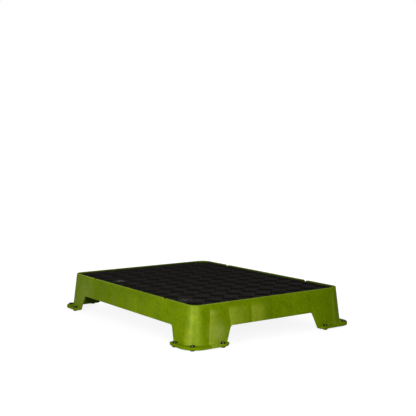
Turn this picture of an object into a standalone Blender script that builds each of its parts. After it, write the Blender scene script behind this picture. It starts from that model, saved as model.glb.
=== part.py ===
"""Dog place board: a low moulded platform on four hollow corner legs, with a ribbed rubber mat
let into its top and three screwed rubber feet under the flange of each leg.

Metres. +Z is up, X runs along the short side and Y along the long side. The origin is on the
floor, at the centre of the board.
"""

import math

import bmesh
import bpy
import numpy as np

# Driving sizes of the moulding
TOP_WIDTH = 0.495
TOP_LENGTH = 0.660
RIM_HEIGHT = 0.108
CORNER_RADIUS = 0.0276
WALL_LEAN = math.radians(7.1)
WALL = 0.004
DECK = 0.0038
RIM_WIDTH = 0.005
RIM_ROUND = 0.0012
RECESS_LEAN = math.radians(3.0)
INNER_FILLET = 0.003

# Driving sizes of the mat and its recess
MAT_THICKNESS = 0.004
MAT_DROP = 0.0035
MAT_SIDE_GAP = 0.0006
MAT_EDGE_ROUND = 0.0006

# Driving sizes of the legs, in from the rim's ends, and of the cut-outs between them
LEG_ACROSS = 0.09525
LEG_ALONG = 0.0715
OPENING_HEIGHT = 0.048
OPENING_LEAN = math.radians(21.5)
OPENING_FILLET = 0.009
LEG_END_ROUND = 0.0055

# Driving sizes of the foot flanges
FLANGE_THICKNESS = 0.007
FLANGE_REACH = 0.0165
FLANGE_CORNER_RADIUS = 0.047
FLANGE_END_RADIUS = 0.011
FLANGE_EDGE_ROUND = 0.001
FLANGE_FILLET = 0.0025
FLANGE_SKIN = 0.003
FLANGE_LIP = 0.0028
BOSS_RADIUS = 0.0095

# Driving sizes of the ribs under the deck
RIB_PITCH_ACROSS = 0.068
RIB_PITCH_ALONG = 0.075
RIB_COUNT = 7
RIB_TIP_HEIGHT = 0.060
RIB_THICKNESS = 0.003
RIB_DRAFT = math.radians(0.75)

# Driving sizes of the rim notches
NOTCH_INSET = 0.1375
NOTCH_WIDTH = 0.014
NOTCH_DEPTH = 0.00575
NOTCH_ROUND = 0.0018
NOTCH_TILT = math.radians(42.0)

# Driving sizes of the feet, their screws and nuts
FOOT_STAND = 0.003
FOOT_RADIUS = 0.00625
FOOT_EDGE_ROUND = 0.0008
FOOT_FLOOR = 0.0016
FOOT_LINE = 0.009
CORNER_FOOT_LINE = 0.0105
FOOT_FROM_END = 0.0205
SCREW_RADIUS = 0.0023
SCREW_LENGTH = 0.0075
HEAD_RADIUS = 0.006
HEAD_HEIGHT = 0.0042
HEAD_RIM = 0.0009
NUT_ACROSS_FLATS = 0.008
NUT_THICKNESS = 0.0038
NUT_CHAMFER = 0.0004

# Clearances
SEAT_GAP = 0.0003
FOOT_POCKET_GAP = 0.0003
HOLE_GAP = 0.0003
NUT_GAP = 0.0003
THREAD_GAP = 0.0003

# Facets
CORNER_STEPS = 12
MAT_CORNER_STEPS = 8
FILLET_STEPS = 5
EDGE_STEPS = 2
HEAD_STEPS = 4
ROUND_SIDES = 16
BORE_SIDES = 12
OVERRUN = 0.004

# Heights above the floor that follow from those sizes
FLANGE_BOTTOM = FOOT_STAND
FLANGE_TOP = FLANGE_BOTTOM + FLANGE_THICKNESS
MAT_TOP = RIM_HEIGHT - MAT_DROP
MAT_BOTTOM = MAT_TOP - MAT_THICKNESS
RECESS_FLOOR = MAT_BOTTOM - SEAT_GAP
DECK_BOTTOM = RECESS_FLOOR - DECK
FOOT_POCKET_TOP = FLANGE_TOP - FLANGE_SKIN
FOOT_TOP = FOOT_POCKET_TOP - SEAT_GAP
NUT_TOP = FOOT_TOP - SEAT_GAP

HALF_WIDTH = TOP_WIDTH / 2
HALF_LENGTH = TOP_LENGTH / 2
FRONT_OPENING = TOP_WIDTH - 2 * LEG_ACROSS
SIDE_OPENING = TOP_LENGTH - 2 * LEG_ALONG
CORNERS = {
    "front_left": (-1, -1),
    "front_right": (1, -1),
    "back_left": (-1, 1),
    "back_right": (1, 1),
}


def wall_offset(z):
    """How far the wall's outer face stands outside the rim's outline at height z."""
    return (RIM_HEIGHT - z) * math.tan(WALL_LEAN)


def inner_offset(z):
    """The same for the wall's inner face."""
    return wall_offset(z) - WALL / math.cos(WALL_LEAN)


# Outlines in plan

def arc(centre, radius, start, end, steps):
    """Points on an arc about centre, from angle start to angle end in radians, both included."""
    angles = np.linspace(start, end, steps + 1)
    return np.column_stack([centre[0] + radius * np.cos(angles), centre[1] + radius * np.sin(angles)])


def rounded_rectangle(offset, steps=CORNER_STEPS):
    """The rim's outline moved outwards by offset, anticlockwise; its corner arcs keep their centres."""
    x = HALF_WIDTH - CORNER_RADIUS
    y = HALF_LENGTH - CORNER_RADIUS
    centres = [(x, y), (-x, y), (-x, -y), (x, -y)]
    quarter = math.pi / 2
    corners = [
        arc(centre, CORNER_RADIUS + offset, turn * quarter, (turn + 1) * quarter, steps)
        for turn, centre in enumerate(centres)
    ]
    return np.concatenate(corners)


def leg_outline(inset, retreat, inner):
    """The L of one foot flange in the +X +Y corner, anticlockwise.

    Its outer sides lie inset inside the flange's own, its ends stand back by retreat from the
    edges of the two cut-outs, and its inner side is the rim's outline moved outwards by inner.
    """
    base = wall_offset(FLANGE_TOP)
    right = HALF_WIDTH + base + FLANGE_REACH - inset
    back = HALF_LENGTH + base + FLANGE_REACH - inset
    end_x = FRONT_OPENING / 2 + retreat
    end_y = SIDE_OPENING / 2 + retreat
    end_radius = FLANGE_END_RADIUS - inset
    corner = FLANGE_CORNER_RADIUS - inset
    turn = math.pi / 2
    centre = (HALF_WIDTH - CORNER_RADIUS, HALF_LENGTH - CORNER_RADIUS)
    parts = [
        arc((right - end_radius, end_y + end_radius), end_radius, -turn, 0, FILLET_STEPS),
        arc((right - corner, back - corner), corner, 0, turn, CORNER_STEPS),
        arc((end_x + end_radius, back - end_radius), end_radius, turn, 2 * turn, FILLET_STEPS),
        np.array([(end_x, HALF_LENGTH + inner)]),
        arc(centre, CORNER_RADIUS + inner, turn, 0, CORNER_STEPS),
        np.array([(HALF_WIDTH + inner, end_y)]),
    ]
    return np.concatenate(parts)


def leg_end():
    """The elevation of a leg's end below the flange's top, upwards, as (retreat, height).

    Its slanted edge would reach the flange's top at no retreat, and its lower corner is rounded.
    """
    slope = math.tan(OPENING_LEAN)
    across = (FLANGE_THICKNESS - LEG_END_ROUND) * slope + LEG_END_ROUND / math.cos(OPENING_LEAN)
    centre = (across, FLANGE_BOTTOM + LEG_END_ROUND)
    corner = arc(centre, LEG_END_ROUND, 1.5 * math.pi, math.pi + OPENING_LEAN, FILLET_STEPS)
    top = (FLANGE_EDGE_ROUND * slope, FLANGE_TOP - FLANGE_EDGE_ROUND)
    return np.concatenate([corner, [top]])


def opening_outline(opening):
    """The elevation of one cut-out: a trapezoid with rounded upper corners, anticlockwise.

    It is opening wide at the flange's top and narrows upwards; below, it follows the legs' ends.
    """
    end = leg_end() + (opening / 2, 0)
    low = (end[0, 0], FLANGE_BOTTOM - OVERRUN)
    half_top = opening / 2 - (OPENING_HEIGHT - FLANGE_TOP) * math.tan(OPENING_LEAN)
    # The fillet's centre is one radius below the top and one radius from the slanted side.
    reach = OPENING_FILLET * math.tan(math.pi / 4 - OPENING_LEAN / 2)
    centre = (half_top - reach, OPENING_HEIGHT - OPENING_FILLET)
    fillet = arc(centre, OPENING_FILLET, OPENING_LEAN, math.pi / 2, FILLET_STEPS)
    right = np.concatenate([[low], end, fillet])
    return np.concatenate([right, right[::-1] * (-1, 1)])


# Solids from rows of points

def new_object(name, mesh_maker):
    """An object whose mesh is filled by mesh_maker, with its faces pointing outwards."""
    mesh = bpy.data.meshes.new(name)
    shape = bmesh.new()
    mesh_maker(shape)
    bmesh.ops.recalc_face_normals(shape, faces=shape.faces)
    shape.to_mesh(mesh)
    shape.free()
    made = bpy.data.objects.new(name, mesh)
    bpy.context.scene.collection.objects.link(made)
    return made


def skin_rows(shape, rows):
    """Joins closed rows of 3-D points, each with as many points, and caps the first and the last."""
    loops = [[shape.verts.new(point) for point in row] for row in rows]
    count = len(loops[0])
    for low, high in zip(loops, loops[1:]):
        for i in range(count):
            j = (i + 1) % count
            shape.faces.new((low[i], low[j], high[j], high[i]))
    shape.faces.new(loops[0])
    shape.faces.new(loops[-1])


def at_height(outline, z):
    return np.column_stack([outline, np.full(len(outline), z)])


def prism(shape, outline, low, high):
    """A straight prism on an outline in plan."""
    skin_rows(shape, [at_height(outline, low), at_height(outline, high)])


def turned(shape, profile, sides, centre):
    """A solid turned about a vertical axis, from (radius, height) points that stay off the axis."""
    angles = np.arange(sides) * math.tau / sides
    ring = np.column_stack([np.cos(angles), np.sin(angles)])
    skin_rows(shape, [at_height(ring * radius + centre, z) for radius, z in profile])


def cylinder(shape, centre, radius, low, high, sides=ROUND_SIDES):
    turned(shape, [(radius, low), (radius, high)], sides, centre)


# Booleans

def as_cutter(made):
    made.hide_render = True
    made.display_type = "WIRE"
    return made


def combine(target, other, operation):
    change = target.modifiers.new(operation.title() + " " + other.name, "BOOLEAN")
    change.operation = operation
    change.solver = "EXACT"
    change.object = as_cutter(other)


# The moulded shell

def shell_profile():
    """The wall's section as (offset, height): from the recess's floor over the rim, down to the
    foot, then up inside to the underside of the deck."""
    recess_lean = (RIM_HEIGHT - RECESS_FLOOR) * math.tan(RECESS_LEAN)
    turn = math.pi / 2
    round_z = RIM_HEIGHT - RIM_ROUND
    rim_inner = arc((RIM_ROUND - RIM_WIDTH, round_z), RIM_ROUND, 2 * turn, turn, EDGE_STEPS)
    outer_x = wall_offset(round_z) - RIM_ROUND / math.cos(WALL_LEAN)
    rim_outer = arc((outer_x, round_z), RIM_ROUND, turn, WALL_LEAN, EDGE_STEPS)
    # The foot's fillet is tangent to the leaning wall and to the flange's flat top.
    spread = FLANGE_FILLET * math.tan(math.pi / 4 - WALL_LEAN / 2)
    centre = (wall_offset(FLANGE_TOP) + spread, FLANGE_TOP + FLANGE_FILLET)
    foot = arc(centre, FLANGE_FILLET, math.pi + WALL_LEAN, 3 * turn, EDGE_STEPS)
    mid_flange = (FLANGE_BOTTOM + FLANGE_TOP) / 2
    under = [
        (wall_offset(FLANGE_TOP), mid_flange),
        (wall_offset(FLANGE_TOP), FLANGE_BOTTOM),
        (inner_offset(FLANGE_BOTTOM), FLANGE_BOTTOM),
    ]
    knee = DECK_BOTTOM - INNER_FILLET
    inside = arc((inner_offset(knee) - INNER_FILLET, knee), INNER_FILLET, 0, turn, EDGE_STEPS)
    start = [(-RIM_WIDTH - recess_lean, RECESS_FLOOR)]
    return np.concatenate([start, rim_inner, rim_outer, foot, under, inside])


def shell_body():
    rows = [at_height(rounded_rectangle(offset), z) for offset, z in shell_profile()]
    return lambda shape: skin_rows(shape, rows)


def rib(shape, place, along_y):
    """One rib from wall to wall at place, thicker at its root in the deck than at its tip."""
    root = DECK_BOTTOM + DECK / 2
    half_root = RIB_THICKNESS / 2
    half_tip = half_root - (root - RIB_TIP_HEIGHT) * math.tan(RIB_DRAFT)
    rows = []
    for z, half in ((RIB_TIP_HEIGHT, half_tip), (root, half_root)):
        end = (HALF_LENGTH if along_y else HALF_WIDTH) + (wall_offset(z) + inner_offset(z)) / 2
        row = [(place - half, -end), (place + half, -end), (place + half, end), (place - half, end)]
        row = np.array(row) if along_y else np.array(row)[:, ::-1]
        rows.append(at_height(row, z))
    skin_rows(shape, rows)


def ribs(along_y):
    pitch = RIB_PITCH_ACROSS if along_y else RIB_PITCH_ALONG

    def make(shape):
        for i in range(RIB_COUNT):
            rib(shape, (i - (RIB_COUNT - 1) / 2) * pitch, along_y)

    return make


def opening_cutter(along_y):
    """A prism through both opposite walls, with the elevation of their cut-outs."""
    reach = (HALF_LENGTH if along_y else HALF_WIDTH) + wall_offset(0) + FLANGE_REACH + OVERRUN
    outline = opening_outline(FRONT_OPENING if along_y else SIDE_OPENING)

    def make(shape):
        rows = []
        for end in (-reach, reach):
            across = np.full(len(outline), end)
            columns = (outline[:, 0], across) if along_y else (across, outline[:, 0])
            rows.append(np.column_stack([*columns, outline[:, 1]]))
        skin_rows(shape, rows)

    return make


def flange_rows():
    """The rows of a flange's sides, upwards, as (inset, retreat, height)."""
    edge = FLANGE_EDGE_ROUND
    rows = []
    for retreat, z in leg_end():
        below = max(0.0, FLANGE_BOTTOM + edge - z)
        rows.append((edge - math.sqrt(max(0.0, edge**2 - below**2)), retreat, z))
    top = arc((edge, FLANGE_TOP - edge), edge, math.pi, math.pi / 2, EDGE_STEPS)[1:]
    rows += [(inset, inset + (FLANGE_TOP - z) * math.tan(OPENING_LEAN), z) for inset, z in top]
    return rows


def flanges(shape):
    """The four foot flanges, each an L with rounded edges that begins half way through the wall."""
    inner = wall_offset(FLANGE_TOP) - WALL / 2
    for signs in CORNERS.values():
        rows = [
            at_height(leg_outline(inset, retreat, inner) * signs, z)
            for inset, retreat, z in flange_rows()
        ]
        skin_rows(shape, rows)


def flange_hollows(shape):
    """The hollow moulded under each flange, inside its lip."""
    retreat = leg_end()[0, 0] + FLANGE_LIP
    for signs in CORNERS.values():
        outline = leg_outline(FLANGE_LIP, retreat, wall_offset(FLANGE_BOTTOM)) * signs
        prism(shape, outline, FLANGE_BOTTOM - OVERRUN, FOOT_POCKET_TOP)


def notches(shape):
    """Two drain notches in each long side of the rim: round-bottomed V grooves that fall outwards."""
    flank = math.atan2(NOTCH_DEPTH, NOTCH_WIDTH / 2)
    bottom = arc((0, NOTCH_ROUND), NOTCH_ROUND, 1.5 * math.pi - flank, 1.5 * math.pi + flank, FILLET_STEPS)
    rise = NOTCH_DEPTH + 2 * OVERRUN
    spread = bottom[-1, 0] + (rise - bottom[-1, 1]) / math.tan(flank)
    section = np.concatenate([[(-spread, rise)], bottom, [(spread, rise)]])
    for side in (-1, 1):
        for end in (-1, 1):
            rows = []
            for across in (-RIM_WIDTH - OVERRUN, OVERRUN):
                fall = NOTCH_DEPTH + (across + RIM_WIDTH / 2) * math.tan(NOTCH_TILT)
                x = np.full(len(section), side * (HALF_WIDTH + across))
                y = end * (HALF_LENGTH - NOTCH_INSET) + section[:, 0]
                rows.append(np.column_stack([x, y, RIM_HEIGHT - fall + section[:, 1]]))
            skin_rows(shape, rows)


def foot_places():
    """The centre of each foot in plan, by name: two near the ends of each L and one in its corner."""
    line_x = HALF_WIDTH + wall_offset(FLANGE_TOP) + FOOT_LINE
    line_y = HALF_LENGTH + wall_offset(FLANGE_TOP) + FOOT_LINE
    bend = CORNER_RADIUS + wall_offset(FLANGE_TOP) + CORNER_FOOT_LINE
    corner = np.array([HALF_WIDTH, HALF_LENGTH]) - CORNER_RADIUS + bend / math.sqrt(2)
    places = {
        "short_side": np.array([FRONT_OPENING / 2 + FOOT_FROM_END, line_y]),
        "corner": corner,
        "long_side": np.array([line_x, SIDE_OPENING / 2 + FOOT_FROM_END]),
    }
    return {
        f"{corner_name}_{place_name}": place * signs
        for corner_name, signs in CORNERS.items()
        for place_name, place in places.items()
    }


def at_feet(radius, low, high):
    """A vertical cylinder at every foot."""
    def make(shape):
        for centre in foot_places().values():
            cylinder(shape, centre, radius, low, high)

    return make


def board_shell(material):
    shell = new_object("board_shell", shell_body())
    combine(shell, new_object("ribs_along", ribs(along_y=True)), "UNION")
    combine(shell, new_object("ribs_across", ribs(along_y=False)), "UNION")
    combine(shell, new_object("front_openings", opening_cutter(along_y=True)), "DIFFERENCE")
    combine(shell, new_object("side_openings", opening_cutter(along_y=False)), "DIFFERENCE")
    combine(shell, new_object("flanges", flanges), "UNION")
    hollows = new_object("flange_hollows", flange_hollows)
    bosses = at_feet(BOSS_RADIUS, FLANGE_BOTTOM - 2 * OVERRUN, FLANGE_TOP)
    combine(hollows, new_object("bosses", bosses), "DIFFERENCE")
    combine(shell, hollows, "DIFFERENCE")
    pockets = at_feet(FOOT_RADIUS + FOOT_POCKET_GAP, FLANGE_BOTTOM - OVERRUN, FOOT_POCKET_TOP)
    combine(shell, new_object("foot_pockets", pockets), "DIFFERENCE")
    holes = at_feet(SCREW_RADIUS + HOLE_GAP, FLANGE_BOTTOM, FLANGE_TOP + OVERRUN)
    combine(shell, new_object("screw_holes", holes), "DIFFERENCE")
    combine(shell, new_object("rim_notches", notches), "DIFFERENCE")
    finish(shell, material)


# The mat, feet, nuts and screws

def mat_body(shape):
    edge = -RIM_WIDTH - (RIM_HEIGHT - RECESS_FLOOR) * math.tan(RECESS_LEAN) - MAT_SIDE_GAP
    turn = math.pi / 2
    low = (edge, MAT_BOTTOM)
    top = arc((edge - MAT_EDGE_ROUND, MAT_TOP - MAT_EDGE_ROUND), MAT_EDGE_ROUND, 0, turn, EDGE_STEPS)
    rows = [at_height(rounded_rectangle(offset, MAT_CORNER_STEPS), z) for offset, z in [low, *top]]
    skin_rows(shape, rows)


def hexagon(across_flats, centre):
    angles = np.arange(6) * math.tau / 6 + math.pi / 6
    return np.column_stack([np.cos(angles), np.sin(angles)]) * across_flats / math.sqrt(3) + centre


def foot_body(centre):
    turn = math.pi / 2
    edge = FOOT_EDGE_ROUND
    low = arc((FOOT_RADIUS - edge, edge), edge, 3 * turn, 4 * turn, EDGE_STEPS)
    return lambda shape: turned(shape, [*low, (FOOT_RADIUS, FOOT_TOP)], ROUND_SIDES, centre)


def nut_seat(centre):
    """The six-sided pocket in the foot's top that holds the nut."""
    def make(shape):
        outline = hexagon(NUT_ACROSS_FLATS + 2 * NUT_GAP, centre)
        prism(shape, outline, NUT_TOP - NUT_THICKNESS - SEAT_GAP, FOOT_TOP + OVERRUN)

    return make


def screw_end_seat(centre):
    radius = SCREW_RADIUS + HOLE_GAP
    return lambda shape: cylinder(shape, centre, radius, FOOT_FLOOR, FOOT_TOP, BORE_SIDES)


def rubber_foot(name, centre, material):
    foot = new_object("rubber_foot_" + name, foot_body(centre))
    combine(foot, new_object("nut_seat_" + name, nut_seat(centre)), "DIFFERENCE")
    combine(foot, new_object("screw_end_seat_" + name, screw_end_seat(centre)), "DIFFERENCE")
    finish(foot, material)


def nut_bore(centre):
    reach = NUT_THICKNESS + OVERRUN
    return lambda shape: cylinder(
        shape, centre, SCREW_RADIUS + THREAD_GAP, NUT_TOP - reach, NUT_TOP + OVERRUN, BORE_SIDES
    )


def foot_nut(name, centre, material):
    low = NUT_TOP - NUT_THICKNESS
    rows = [
        (NUT_ACROSS_FLATS - 2 * NUT_CHAMFER, low),
        (NUT_ACROSS_FLATS, low + NUT_CHAMFER),
        (NUT_ACROSS_FLATS, NUT_TOP - NUT_CHAMFER),
        (NUT_ACROSS_FLATS - 2 * NUT_CHAMFER, NUT_TOP),
    ]
    nut = new_object(
        "foot_nut_" + name,
        lambda shape: skin_rows(shape, [at_height(hexagon(flats, centre), z) for flats, z in rows]),
    )
    combine(nut, new_object("nut_bore_" + name, nut_bore(centre)), "DIFFERENCE")
    finish(nut, material)


def screw_profile():
    """Shank, flat underside and rim of the head, then its dome, as (radius, height)."""
    seat = FLANGE_TOP + SEAT_GAP
    quarter = arc((0, 0), 1.0, 0, math.pi / 2, HEAD_STEPS)[:-1]
    dome = quarter * (HEAD_RADIUS, HEAD_HEIGHT - HEAD_RIM) + (0, seat + HEAD_RIM)
    shank = [(SCREW_RADIUS, seat - SCREW_LENGTH), (SCREW_RADIUS, seat), (HEAD_RADIUS, seat)]
    return [*shank, *dome]


def foot_screw(name, centre, material):
    profile = screw_profile()
    screw = new_object("foot_screw_" + name, lambda shape: turned(shape, profile, ROUND_SIDES, centre))
    finish(screw, material)


# Materials

def plain_material(name, colour, roughness, metallic=0.0):
    material = bpy.data.materials.new(name)
    material.use_nodes = True
    shader = material.node_tree.nodes["Principled BSDF"]
    shader.inputs["Base Color"].default_value = (*colour, 1.0)
    shader.inputs["Roughness"].default_value = roughness
    shader.inputs["Metallic"].default_value = metallic
    return material


def finish(made, material):
    """Gives a piece its material and smooth shading on its round sides."""
    made.data.materials.append(material)
    made.data.shade_smooth()
    made.data.set_sharp_from_angle(angle=math.radians(30.0))


def clear_scene():
    for old in list(bpy.data.objects):
        bpy.data.objects.remove(old)


def main():
    clear_scene()
    green = plain_material("green moulded plastic", (0.16, 0.27, 0.005), 0.45)
    black_rubber = plain_material("black rubber", (0.012, 0.012, 0.013), 0.7)
    foot_rubber = plain_material("black foot rubber", (0.01, 0.01, 0.01), 0.8)
    black_steel = plain_material("blackened steel", (0.02, 0.02, 0.02), 0.35, metallic=1.0)
    zinc = plain_material("zinc plated steel", (0.55, 0.56, 0.58), 0.35, metallic=1.0)
    board_shell(green)
    finish(new_object("rubber_mat", mat_body), black_rubber)
    for name, centre in foot_places().items():
        rubber_foot(name, centre, foot_rubber)
        foot_nut(name, centre, zinc)
        foot_screw(name, centre, black_steel)


main()
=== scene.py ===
"""Looks of the dog place board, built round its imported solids.

The moulding, the mat, the screw heads and the rubber feet are finer surfaces that stand for the
board's solids. Metres, +Z up, X along the short side and Y along the long side.
"""

import math

import bmesh
import bpy
import numpy as np
from mathutils import Matrix, Vector


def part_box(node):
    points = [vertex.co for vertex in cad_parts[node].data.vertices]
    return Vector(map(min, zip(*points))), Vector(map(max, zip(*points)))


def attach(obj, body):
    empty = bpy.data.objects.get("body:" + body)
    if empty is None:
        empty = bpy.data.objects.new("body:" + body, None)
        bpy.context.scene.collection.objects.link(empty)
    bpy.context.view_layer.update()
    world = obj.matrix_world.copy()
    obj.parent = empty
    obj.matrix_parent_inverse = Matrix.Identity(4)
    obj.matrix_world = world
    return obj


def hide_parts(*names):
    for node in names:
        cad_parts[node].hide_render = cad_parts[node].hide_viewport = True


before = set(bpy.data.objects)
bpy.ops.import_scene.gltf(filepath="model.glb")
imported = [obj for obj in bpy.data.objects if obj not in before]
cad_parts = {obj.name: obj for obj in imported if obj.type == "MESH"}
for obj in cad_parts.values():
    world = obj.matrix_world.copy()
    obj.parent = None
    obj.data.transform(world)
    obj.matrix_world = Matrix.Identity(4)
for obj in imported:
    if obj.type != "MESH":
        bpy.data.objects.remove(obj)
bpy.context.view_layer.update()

# Sizes of the moulding, as the solids have them
TOP_WIDTH = 0.495
TOP_LENGTH = 0.660
RIM_HEIGHT = 0.108
CORNER_RADIUS = 0.0276
WALL_LEAN = math.radians(7.1)
WALL = 0.004
DECK = 0.0038
RIM_WIDTH = 0.005
RIM_ROUND = 0.0012
RECESS_LEAN = math.radians(3.0)
INNER_FILLET = 0.003
FRONT_OPENING = 0.3045
SIDE_OPENING = 0.517
OPENING_HEIGHT = 0.048
OPENING_LEAN = math.radians(21.5)
OPENING_FILLET = 0.009
LEG_END_ROUND = 0.0055
FLANGE_BOTTOM = 0.003
FLANGE_TOP = 0.010
FLANGE_REACH = 0.0165
FLANGE_CORNER_RADIUS = 0.047
FLANGE_END_RADIUS = 0.011
FLANGE_EDGE_ROUND = 0.001
FLANGE_FILLET = 0.0025
FLANGE_LIP = 0.0028
HOLLOW_TOP = 0.007
BOSS_RADIUS = 0.0095
RIB_PITCH_ACROSS = 0.068
RIB_PITCH_ALONG = 0.075
RIB_COUNT = 7
RIB_TIP_HEIGHT = 0.060
RIB_THICKNESS = 0.003
RIB_DRAFT = math.radians(0.75)
RIB_FILLET = 0.0015
RIB_TIP_ROUND = 0.0006
NOTCH_INSET = 0.1375
NOTCH_WIDTH = 0.014
NOTCH_DEPTH = 0.00575
NOTCH_ROUND = 0.0018
NOTCH_TILT = math.radians(42.0)
NOTCH_LIP_ROUND = 0.0007
WALL_EDGE_ROUND = 0.0007

# Swelling of the walls between the ribs behind them, and its share left at the lower edge
PANEL_SWELL = 0.00035
SWELL_TOP = 0.104
SWELL_FADE = 0.012
SWELL_LEFT = 0.1

# How far joined shapes run into one another, or past what they cut
OVERRUN = 0.004
FLANGE_BITE = 0.0009
FILLET_BITE = 0.0002
FILLET_RETREAT = 0.0003

# Sizes of the mat, its blocks and their slits
MAT_TOP = 0.1045
MAT_BOTTOM = 0.1005
MAT_SIDE_GAP = 0.0006
BLOCK = 0.0385
BLOCK_SHIFT = (0.038, 0.027)
BLOCK_MARGIN = BLOCK * 0.75
BLOCK_NUMBERS = range(-30, 60)
SLITS = 6
SLIT_PITCH = 0.0064
SLIT_HALF_WIDTH = 0.0019
SLIT_DEPTH = 0.0021
SLIT_END = 0.0022
SLIT_RAMP = 0.0012
# A slit's section at seven places across, as shares of its half width and of its depth
SLIT_ACROSS = (-1.0, -0.82, -0.62, 0.0, 0.62, 0.82, 1.0)
SLIT_SINK = (0.0, 0.25, 0.95, 1.0, 0.95, 0.25, 0.0)
# Its width and its depth at four places along, as shares of those in the middle
SLIT_WIDTHS = (0.7, 1.0, 1.0, 0.7)
SLIT_DEPTHS = (0.0, 1.0, 1.0, 0.0)

# Sizes of the screws and feet
HEAD_RADIUS = 0.006
HEAD_HEIGHT = 0.0042
HEAD_RIM = 0.0009
HEAD_EDGE = 0.0002
DOME_SHARE = 0.78
SHANK_RADIUS = 0.0023
SHANK_LENGTH = 0.0075
SEAT_GAP = 0.0003
FOOT_RADIUS = 0.00625
FOOT_EDGE_ROUND = 0.0008
FOOT_MIDDLE = 0.003
FOOT_TOP = 0.0066
# The socket's hexagons downwards: half the width across flats, and depth below the crown
SOCKET = [(0.00165, 0.0), (0.0015, 0.0002), (0.0015, 0.0020), (0.0004, 0.0022)]

# The painted glint on each screw head, a pale spot for a highlight: its place from the seat's
# middle, its reach and its soft edge
GLINT_SPOT = (-0.0031, -0.0043, 0.0024)
GLINT_REACH = 0.0017
GLINT_EDGE = 0.0013

# Spacing of the wall's columns, their places near a notch from its middle, how far the notch
# reaches, and the heights of the outer face's rows
COLUMN_SPACING = 0.003
NOTCH_COLUMNS = np.arange(-0.012, 0.01201, 0.0006)
NOTCH_REACH = 0.0125
FINE_HEIGHTS = np.arange(0.1064, 0.0981, -0.0005)
COARSE_HEIGHTS = np.linspace(0.0970, 0.0525, 9)

# Numbers of steps along the faces and arcs and round the circles
CORNER_STEPS = 24
FLANGE_CORNER_STEPS = 30
FLANGE_EDGE_STEPS = 5
MAT_CORNER_STEPS = 12
EDGE_STEPS = 6
END_STEPS = 10
FACE_STEPS = 11
INNER_STEPS = 5
FILLET_STEPS = 4
KNEE_STEPS = 3
LEG_ROUND_STEPS = 8
LEG_END_STEPS = 12
SLANT_STEPS = 13
RIB_ROOT_STEPS = 4
RIB_TIP_STEPS = 3
BOSS_STEPS = 32
HEAD_STEPS = 48
DOME_STEPS = 10
FOOT_STEPS = 40
FOOT_EDGE_STEPS = 5

# Distances at which points are welded and slivers dissolved
WELD = 1e-6
SHORTEST = 1e-7
SLIVER_WELD = 3e-6
SLIVER_SHORTEST = 2e-6

# Edges that bend by more than this stay sharp
SHARP_ANGLE = math.radians(35.0)

# Colours, linear
GREEN_STOPS = [(0.35, (0.128, 0.203, 0.0004)), (0.65, (0.158, 0.240, 0.0009))]
MOTTLE_STOPS = [(0.3, (0.80, 0.82, 0.8)), (0.7, (1.18, 1.16, 1.2))]
# Pale green of the painted sheen patches
PAINTED_SHEEN_GREEN = (0.255, 0.330, 0.046)
# Lime of the painted highlight down the near corner
PAINTED_HIGHLIGHT_LIME = (0.290, 0.340, 0.010)
# Pale greens of the painted sheen on the front and side panels
FRONT_SHEEN = (0.282, 0.356, 0.026)
SIDE_SHEEN = (0.195, 0.275, 0.004)
# Pale green of the painted highlight along the rim's edge
PAINTED_RIM_HIGHLIGHT = (0.340, 0.420, 0.070)
# Dark green of the painted shade on the recess wall
RECESS_SHADE = (0.01, 0.012, 0.003)
GREEN_SHEEN = (0.86, 0.92, 0.22, 1.0)
MAT_BLACK = (0.0172, 0.0160, 0.0148)
# Near black of the painted shade in the mat's grooves
GROOVE_SHADE = (0.0006, 0.0006, 0.0006)
FOOT_BLACK = (0.008, 0.008, 0.008)
# Grey of the mat's scuffs, partly wear and partly painted sheen
RUBBER_SCUFF_AND_SHEEN = (0.170, 0.170, 0.165)
SCREW_BLACK = (0.0015, 0.0015, 0.0015)
# Pale grey of the painted glint on the screw heads
PAINTED_GLINT_GREY = (0.34, 0.34, 0.33)
ZINC = (0.55, 0.56, 0.58)

# Patches of painted sheen on the moulding: centre, radius and strength
PAINTED_SHEEN_PATCHES = [
    ((-0.181, -0.341, 0.036), 0.043, 1.0),
    ((-0.1925, -0.333, 0.086), 0.011, 1.0),
    ((-0.258, 0.245, 0.058), 0.085, 0.55),
]
# Lime spots of painted highlight down the near corner: centre, radius and strength
PAINTED_HIGHLIGHT_SPOTS = [
    ((-0.2449, -0.3219, 0.075), 0.016, 0.45),
    ((-0.2528, -0.3183, 0.042), 0.018, 0.5),
    ((-0.2575, -0.3134, 0.020), 0.020, 0.5),
]
# Scuffs on the mat, partly wear and partly painted sheen: centre and radius
MAT_SCUFFS_AND_SHEEN = [((-0.2099, -0.2323, 0.1045), 0.026), ((-0.1988, 0.1277, 0.1045), 0.024)]
# Heights between which the mat's colour goes over from the grooves' painted shade to the land's
GROOVE_HEIGHTS = (MAT_TOP - 0.0011, MAT_TOP - 0.0006)
# Painted sheen on the walls' panels beside their ribs: where each begins and ends, and how pale it is
# there
FRONT_PANELS = [
    (-0.1985, -0.192, 1.05, 0.92),
    (-0.192, -0.160, 0.85, 0.15),
    (-0.1385, -0.132, 1.10, 0.95),
    (-0.132, -0.079, 0.88, 0.36),
    (-0.0705, -0.038, 0.78, 0.76),
    (-0.038, 0.0, 0.74, 0.0),
    (0.2125, 0.2195, 0.6, 0.6),
]
SIDE_PANELS = [
    (-0.156, -0.080, 0.60, 0.45),
    (-0.068, -0.006, 0.85, 0.70),
    (0.045, 0.083, 0.45, 0.60),
]
# Heights between which the panels fade out, how far before and after its ends each begins and
# ends softly, and how far their edges wander
PANEL_TOPS = (0.086, 0.098)
PANEL_START = (-0.0012, 0.0004)
PANEL_END = (-0.0010, 0.0010)
PANEL_WANDER = 0.0022
# Left of SLANT_SIDE the panels' edges slant, by SLANT times the height below SLANT_TOP
SLANT_TOP = 0.085
SLANT_SIDE = -0.175
SLANT = 0.15
# How far inside the rim's outline the finish of the walls begins
WALL_START = 0.001
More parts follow.
